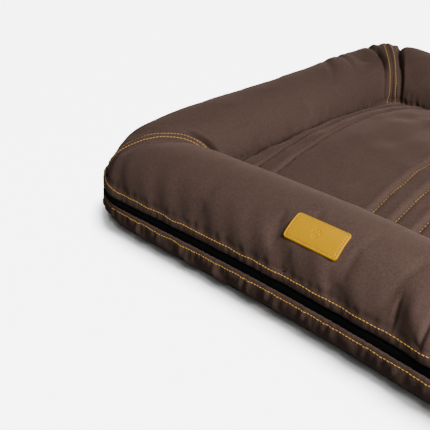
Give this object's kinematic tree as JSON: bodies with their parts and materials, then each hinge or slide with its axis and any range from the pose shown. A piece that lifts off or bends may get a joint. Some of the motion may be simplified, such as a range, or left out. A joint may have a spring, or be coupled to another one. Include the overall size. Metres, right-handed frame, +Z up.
{
  "type": "pet cushion bed",
  "caption": "Rectangular pet bed with a quilted seat inside a ring of padded bolsters, in a fabric cover that opens with a zip round its side wall.",
  "frame": {"origin": "centre of the underside, on the surface that the bed rests on", "axes": "+X to the right along the long front side, +Y to the back, +Z up"},
  "size_m": [0.8316, 0.7086, 0.1266],
  "materials": {
    "brown_fabric": "smooth woven, slight sheen",
    "underside_fabric": "matt, with small grip dots",
    "liner_fabric": "matt non-woven",
    "wadding": "matt fibre",
    "gold_thread": "twisted thread, soft sheen",
    "zip_tape": "fine herringbone weave",
    "zip_plastic": "satin",
    "zip_metal": "black enamel, satin",
    "yellow_leather": "fine grain, satin"
  },
  "bodies": {
    "bed": {"base_panel": "underside_fabric", "lower_wall_front": "brown_fabric", "bolster_cover_front": "brown_fabric", "bolster_insert_front": "liner_fabric", "corner_topstitch_front_start": "gold_thread", "corner_topstitch_front_end": "gold_thread", "lower_wall_right": "brown_fabric", "bolster_cover_right": "brown_fabric", "bolster_insert_right": "liner_fabric", "corner_topstitch_right_start": "gold_thread", "corner_topstitch_right_end": "gold_thread", "lower_wall_back": "brown_fabric", "bolster_cover_back": "brown_fabric", "bolster_insert_back": "liner_fabric", "corner_topstitch_back_start": "gold_thread", "corner_topstitch_back_end": "gold_thread", "lower_wall_left": "brown_fabric", "bolster_cover_left": "brown_fabric", "bolster_insert_left": "liner_fabric", "corner_topstitch_left_start": "gold_thread", "corner_topstitch_left_end": "gold_thread", "seat_panel": "brown_fabric", "zip_end_tab": "brown_fabric", "seat_wadding": "wadding", "seat_insert": "liner_fabric", "upper_zip_tape": "zip_tape", "lower_zip_tape": "zip_tape", "upper_zip_coil": "zip_plastic", "lower_zip_coil": "zip_plastic", "zip_retainer_box": "zip_plastic", "zip_insertion_pin": "zip_plastic", "zip_upper_stop": "zip_metal", "zip_lower_stop": "zip_metal", "upper_zip_topstitch": "gold_thread", "lower_zip_topstitch": "gold_thread", "quilt_stitch_outer_left": "gold_thread", "quilt_stitch_inner_left": "gold_thread", "quilt_stitch_middle_left": "gold_thread", "quilt_stitch_middle": "gold_thread", "quilt_stitch_middle_right": "gold_thread", "quilt_stitch_inner_right": "gold_thread", "quilt_stitch_outer_right": "gold_thread", "leather_label": "yellow_leather"},
    "slider": {"zip_slider": "zip_metal"},
    "pull": {"zip_pull_tab": "zip_metal"}
  },
  "joints": [
    {"name": "zip_slide", "type": "slide", "parent": "bed", "child": "slider", "axis": [1, 0, 0], "range_m": [0, 0.26]},
    {"name": "pull_swing", "type": "hinge", "parent": "slider", "child": "pull", "pos_m": [0.0135, 0.3554, 0.045], "axis": [0, 0, 1], "range_deg": [0, 150]}
  ]
}
